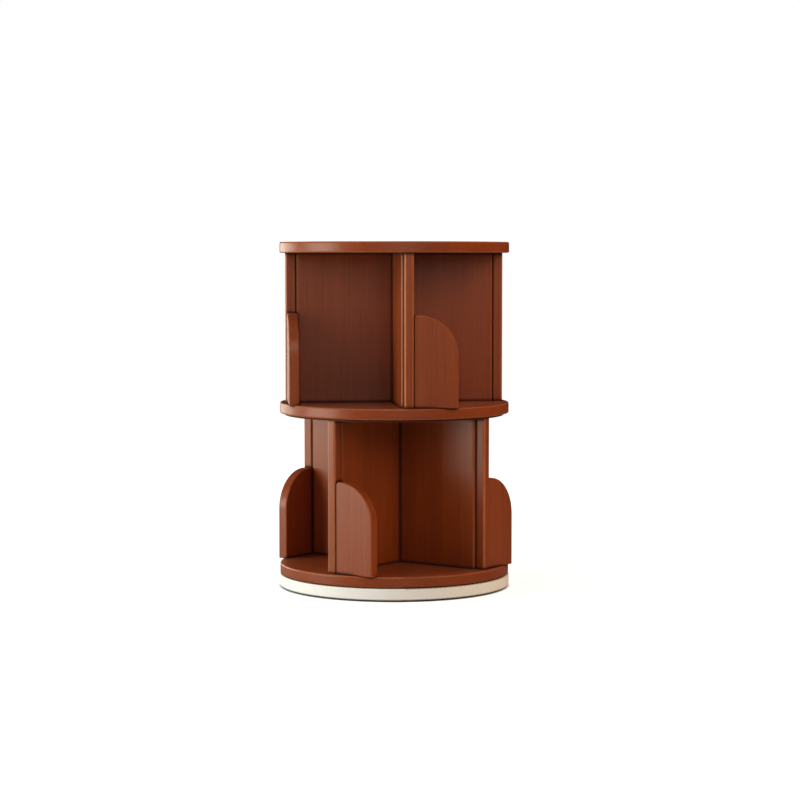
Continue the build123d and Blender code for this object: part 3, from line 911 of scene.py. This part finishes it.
# bearing 0 is the camera's side, negative is to its left; shine says if gloss mirrors the lamp
aimHeight = 0.34
softBoxes = {
    "frontLeftHigh": {
        "bearing": -38.0, "rise": 35.0, "reach": 3.2, "size": (1.8, 1.8),
        "power": 4.0, "colour": (1.0, 0.97, 0.92), "shine": True},
    "leftSide": {
        "bearing": -75.0, "rise": 3.0, "reach": 3.0, "size": (1.8, 1.0),
        "power": 33.0, "colour": (1.0, 0.98, 0.87), "shine": True},
    "leftSideHigh": {
        "bearing": -75.0, "rise": 23.8, "reach": 3.0, "size": (1.8, 1.2),
        "power": 40.0, "colour": (1.0, 0.98, 0.87), "shine": False},
    "leftBack": {
        "bearing": -135.0, "rise": 3.0, "reach": 3.0, "size": (2.2, 1.0),
        "power": 23.0, "colour": (1.0, 0.985, 0.84), "shine": True},
    "leftBackHigh": {
        "bearing": -135.0, "rise": 22.0, "reach": 3.0, "size": (2.2, 1.0),
        "power": 23.0, "colour": (1.0, 0.985, 0.84), "shine": False},
    "front": {
        "bearing": 8.0, "rise": 21.0, "reach": 3.2, "size": (1.8, 1.4),
        "power": 15.0, "colour": (1.0, 0.97, 0.93), "shine": True},
    "rightFront": {
        "bearing": 55.0, "rise": 29.0, "reach": 2.7, "size": (1.6, 1.5),
        "power": 29.0, "colour": (1.0, 0.76, 0.50), "shine": False},
    "rightBack": {
        "bearing": 110.0, "rise": 36.0, "reach": 2.2, "size": (1.2, 1.2),
        "power": 17.0, "colour": (1.0, 0.62, 0.34), "shine": False},
    "overhead": {
        "bearing": 0.0, "rise": 88.0, "reach": 2.6, "size": (2.0, 2.0),
        "power": 8.0, "colour": (1.0, 0.97, 0.93), "shine": True},
}
for lampName, lampSpec in softBoxes.items():
    turn = math.radians(view["heading"] + lampSpec["bearing"])
    rise = math.radians(lampSpec["rise"])
    reach = lampSpec["reach"]
    place = (math.sin(turn) * math.cos(rise) * reach, -math.cos(turn) * math.cos(rise) * reach,
             aimHeight + math.sin(rise) * reach)
    softLight(lampName, place, (0.0, 0.0, aimHeight), lampSpec)

world = bpy.data.worlds.new("studioWorld")
bpy.context.scene.world = world
world.use_nodes = True
worldTree = world.node_tree
worldTree.nodes.clear()
path = put(worldTree, "ShaderNodeLightPath")
ambient = put(worldTree, "ShaderNodeBackground", None, {
    "Color": (1.0, 0.97, 0.94, 1.0), "Strength": 0.03})
white = put(worldTree, "ShaderNodeBackground", None, {"Color": (1.0, 1.0, 1.0, 1.0), "Strength": 1.0})
blend = put(worldTree, "ShaderNodeMixShader", None, {
    0: path.outputs["Is Camera Ray"], 1: ambient.outputs[0], 2: white.outputs[0]})
put(worldTree, "ShaderNodeOutputWorld", None, {"Surface": blend.outputs[0]})

whiteFloor = {
    "colour": (0.65, 0.65, 0.65, 1.0),
    "seenColour": (0.45, 0.45, 0.45, 1.0),
    "mirrorColour": (0.22, 0.22, 0.22, 1.0),
    "nearGlow": 0.80,
    "nearReach": 0.40,
    "farReach": 1.50,
    "darkReach": 0.222,
    "litReach": 0.230,
}
deselectAll()
bpy.ops.mesh.primitive_plane_add(size=40.0, location=(0.0, 0.0, 0.0))
floor = bpy.context.active_object
floor.name = "studioFloor"
floorMaterial = bpy.data.materials.new("studioFloorWhite")
floorMaterial.use_nodes = True
floorTree = floorMaterial.node_tree
floorTree.nodes.clear()
floorPath = put(floorTree, "ShaderNodeLightPath")
floorPlace = put(floorTree, "ShaderNodeTexCoord").outputs["Object"]
floorReach = put(
    floorTree, "ShaderNodeVectorMath", {"operation": "LENGTH"}, {0: floorPlace}).outputs["Value"]
# seen directly it glows nearly white, fully white far off and not at all under the plinth
glowFar = spread(
    floorTree, floorReach, whiteFloor["nearReach"], whiteFloor["farReach"], whiteFloor["nearGlow"], 1.0)
glowNear = spread(floorTree, floorReach, whiteFloor["darkReach"], whiteFloor["litReach"])
plainFloor = put(floorTree, "ShaderNodeBsdfDiffuse", None, {"Color": whiteFloor["colour"]})
seenFloor = put(floorTree, "ShaderNodeBsdfDiffuse", None, {"Color": whiteFloor["seenColour"]})
glow = put(floorTree, "ShaderNodeEmission", None, {
    "Color": (1.0, 1.0, 1.0, 1.0), "Strength": sums(floorTree, "MULTIPLY", glowFar, glowNear)})
lifted = put(floorTree, "ShaderNodeAddShader", None, {0: seenFloor.outputs[0], 1: glow.outputs[0]})
mirrorFloor = put(floorTree, "ShaderNodeBsdfDiffuse", None, {"Color": whiteFloor["mirrorColour"]})
unseen = put(floorTree, "ShaderNodeMixShader", None, {
    0: floorPath.outputs["Is Glossy Ray"], 1: plainFloor.outputs[0], 2: mirrorFloor.outputs[0]})
floorMix = put(floorTree, "ShaderNodeMixShader", None, {
    0: floorPath.outputs["Is Camera Ray"], 1: unseen.outputs[0], 2: lifted.outputs[0]})
put(floorTree, "ShaderNodeOutputMaterial", None, {"Surface": floorMix.outputs[0]})
floor.data.materials.append(floorMaterial)

bpy.context.scene.view_settings.view_transform = "Standard"
print("stage, camera and light ready")
